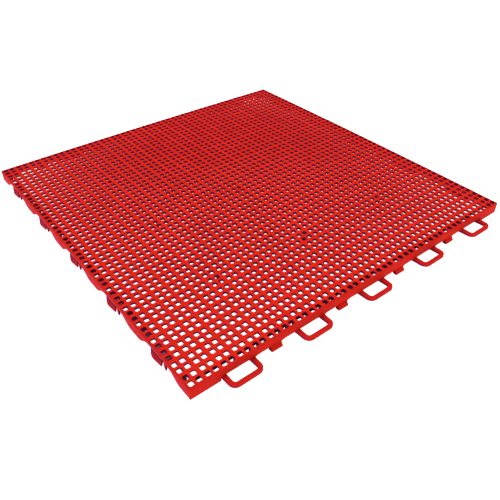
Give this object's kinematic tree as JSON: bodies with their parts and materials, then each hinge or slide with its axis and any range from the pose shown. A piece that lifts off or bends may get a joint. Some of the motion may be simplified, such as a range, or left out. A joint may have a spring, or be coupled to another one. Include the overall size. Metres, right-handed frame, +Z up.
{
  "type": "anti fatigue floor tile",
  "caption": "Square perforated interlocking floor tile, red, with flat loops on two edges and snap tongues on the other two, used as an anti fatigue mat.",
  "frame": {"origin": "centre of the square tile, loops and barbs left out, on the floor it stands on", "axes": "+Z up out of the walking surface; -Y and +X point out of the two edges with loops, -X and +Y out of the two edges with snap tongues"},
  "size_m": [0.3917, 0.3917, 0.0137],
  "materials": {
    "leg_plastic": "red moulded polypropylene, smooth with a soft sheen",
    "loop_plastic": "red moulded polypropylene, smooth with a soft sheen",
    "net_plastic": "red moulded polypropylene, smooth with a soft sheen",
    "prong_plastic": "red moulded polypropylene, smooth with a soft sheen",
    "rib_plastic": "red moulded polypropylene, smooth with a soft sheen",
    "skirt_plastic": "red moulded polypropylene, smooth with a soft sheen",
    "tab_plastic": "red moulded polypropylene, smooth with a soft sheen",
    "tongue_plastic": "red moulded polypropylene, smooth with a soft sheen"
  },
  "bodies": {
    "tile": {"leg_1_1": "leg_plastic", "leg_1_2": "leg_plastic", "leg_1_3": "leg_plastic", "leg_2_1": "leg_plastic", "leg_2_2": "leg_plastic", "leg_2_3": "leg_plastic", "leg_3_1": "leg_plastic", "leg_3_2": "leg_plastic", "leg_3_3": "leg_plastic", "loop_front_1": "loop_plastic", "loop_front_2": "loop_plastic", "loop_front_3": "loop_plastic", "loop_front_4": "loop_plastic", "loop_front_5": "loop_plastic", "loop_right_1": "loop_plastic", "loop_right_2": "loop_plastic", "loop_right_3": "loop_plastic", "loop_right_4": "loop_plastic", "loop_right_5": "loop_plastic", "net_lower_bars": "net_plastic", "net_upper_bars": "net_plastic", "prong_back_1": "prong_plastic", "prong_back_2": "prong_plastic", "prong_back_3": "prong_plastic", "prong_back_4": "prong_plastic", "prong_back_5": "prong_plastic", "prong_left_1": "prong_plastic", "prong_left_2": "prong_plastic", "prong_left_3": "prong_plastic", "prong_left_4": "prong_plastic", "prong_left_5": "prong_plastic", "rib_back": "rib_plastic", "rib_front": "rib_plastic", "rib_left": "rib_plastic", "rib_right": "rib_plastic", "skirt_back": "skirt_plastic", "skirt_front": "skirt_plastic", "skirt_left": "skirt_plastic", "skirt_right": "skirt_plastic", "tab_front_1": "tab_plastic", "tab_front_2": "tab_plastic", "tab_front_3": "tab_plastic", "tab_front_4": "tab_plastic", "tab_right_1": "tab_plastic", "tab_right_2": "tab_plastic", "tab_right_3": "tab_plastic", "tab_right_4": "tab_plastic"},
    "latch_back_1": {"tongue_back_1": "tongue_plastic"},
    "latch_back_2": {"tongue_back_2": "tongue_plastic"},
    "latch_back_3": {"tongue_back_3": "tongue_plastic"},
    "latch_back_4": {"tongue_back_4": "tongue_plastic"},
    "latch_back_5": {"tongue_back_5": "tongue_plastic"},
    "latch_left_1": {"tongue_left_1": "tongue_plastic"},
    "latch_left_2": {"tongue_left_2": "tongue_plastic"},
    "latch_left_3": {"tongue_left_3": "tongue_plastic"},
    "latch_left_4": {"tongue_left_4": "tongue_plastic"},
    "latch_left_5": {"tongue_left_5": "tongue_plastic"}
  },
  "joints": [
    {"name": "latch_back_1_flex", "type": "hinge", "parent": "tile", "child": "latch_back_1", "pos_m": [0.1469, 0.18765, 0.00675], "axis": [-1, 0, 0], "range_deg": [-2, 12], "stiffness_Nm_per_rad": 0.3},
    {"name": "latch_back_2_flex", "type": "hinge", "parent": "tile", "child": "latch_back_2", "pos_m": [0.0744, 0.18765, 0.00675], "axis": [-1, 0, 0], "range_deg": [-2, 12], "stiffness_Nm_per_rad": 0.3},
    {"name": "latch_back_3_flex", "type": "hinge", "parent": "tile", "child": "latch_back_3", "pos_m": [0.0019, 0.18765, 0.00675], "axis": [-1, 0, 0], "range_deg": [-2, 12], "stiffness_Nm_per_rad": 0.3},
    {"name": "latch_back_4_flex", "type": "hinge", "parent": "tile", "child": "latch_back_4", "pos_m": [-0.0706, 0.18765, 0.00675], "axis": [-1, 0, 0], "range_deg": [-2, 12], "stiffness_Nm_per_rad": 0.3},
    {"name": "latch_back_5_flex", "type": "hinge", "parent": "tile", "child": "latch_back_5", "pos_m": [-0.1431, 0.18765, 0.00675], "axis": [-1, 0, 0], "range_deg": [-2, 12], "stiffness_Nm_per_rad": 0.3},
    {"name": "latch_left_1_flex", "type": "hinge", "parent": "tile", "child": "latch_left_1", "pos_m": [-0.18765, 0.1469, 0.00675], "axis": [0, -1, 0], "range_deg": [-2, 12], "stiffness_Nm_per_rad": 0.3},
    {"name": "latch_left_2_flex", "type": "hinge", "parent": "tile", "child": "latch_left_2", "pos_m": [-0.18765, 0.0744, 0.00675], "axis": [0, -1, 0], "range_deg": [-2, 12], "stiffness_Nm_per_rad": 0.3},
    {"name": "latch_left_3_flex", "type": "hinge", "parent": "tile", "child": "latch_left_3", "pos_m": [-0.18765, 0.0019, 0.00675], "axis": [0, -1, 0], "range_deg": [-2, 12], "stiffness_Nm_per_rad": 0.3},
    {"name": "latch_left_4_flex", "type": "hinge", "parent": "tile", "child": "latch_left_4", "pos_m": [-0.18765, -0.0706, 0.00675], "axis": [0, -1, 0], "range_deg": [-2, 12], "stiffness_Nm_per_rad": 0.3},
    {"name": "latch_left_5_flex", "type": "hinge", "parent": "tile", "child": "latch_left_5", "pos_m": [-0.18765, -0.1431, 0.00675], "axis": [0, -1, 0], "range_deg": [-2, 12], "stiffness_Nm_per_rad": 0.3}
  ]
}
